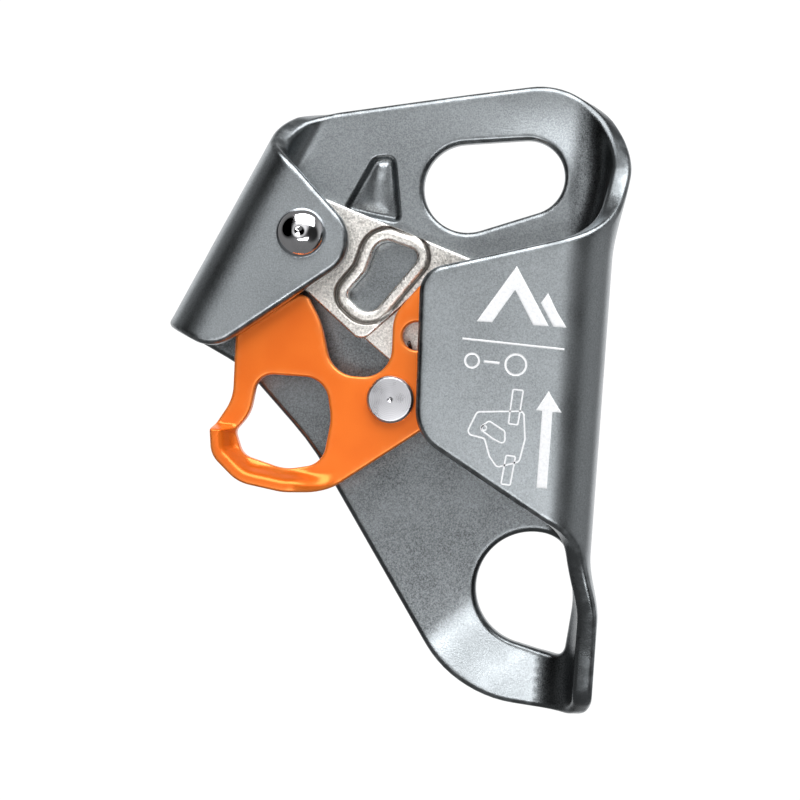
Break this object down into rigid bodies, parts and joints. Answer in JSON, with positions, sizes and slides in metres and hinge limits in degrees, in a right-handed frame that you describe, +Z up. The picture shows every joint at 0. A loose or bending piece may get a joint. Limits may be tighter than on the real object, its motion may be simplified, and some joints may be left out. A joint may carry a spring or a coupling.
{
  "type": "rope ascender",
  "caption": "Compact rope ascender: folded plate frame with rope channel, sprung toothed cam, trigger catch and two attachment holes.",
  "frame": {"origin": "centre of the lower attachment hole, halfway through the thickness of the back plate", "axes": "+Z up along the rope channel, -Y out of the front face that carries the markings, +X towards the closed side of the rope channel"},
  "size_m": [0.09, 0.0246, 0.125],
  "materials": {
    "frame_plate": "satin anodised titanium grey, fine bead-blast grain",
    "cam": "cast steel, vibratory finished",
    "cam_rivet": "polished",
    "cam_sleeve": "plain steel",
    "cam_washer": "plain steel",
    "cam_spring": "spring wire",
    "catch": "satin orange anodised",
    "catch_rivet": "turned satin face",
    "catch_washer": "plain steel",
    "catch_spring": "blackened spring wire"
  },
  "bodies": {
    "frame": {"frame_plate": "frame_plate", "cam_rivet": "cam_rivet", "cam_sleeve": "cam_sleeve", "cam_washer": "cam_washer", "cam_spring": "cam_spring"},
    "cam": {"cam": "cam", "catch_spring": "catch_spring"},
    "catch_link": {"catch_rivet": "catch_rivet", "catch_washer": "catch_washer"},
    "catch": {"catch": "catch"}
  },
  "joints": [
    {"name": "cam_opening", "type": "hinge", "parent": "frame", "child": "cam", "pos_m": [-0.0499, 0, 0.0672], "axis": [0, 1, 0], "range_deg": [0, 38], "stiffness_Nm_per_rad": 0.12, "springref_deg": -40.11, "deforming": ["cam_spring"]},
    {"name": "catch_follow", "type": "hinge", "parent": "cam", "child": "catch_link", "pos_m": [-0.0302, 0, 0.0357], "axis": [0, -1, 0], "range_deg": [0, 73]},
    {"name": "catch_trigger", "type": "hinge", "parent": "catch_link", "child": "catch", "pos_m": [-0.0302, 0, 0.0357], "axis": [0, -1, 0], "range_deg": [0, 8], "stiffness_Nm_per_rad": 0.1, "springref_deg": -20.05, "deforming": ["catch_spring"]}
  ],
  "couplings": [
    {"joint": "catch_follow", "follows": "cam_opening", "ratio": 1.9}
  ]
}
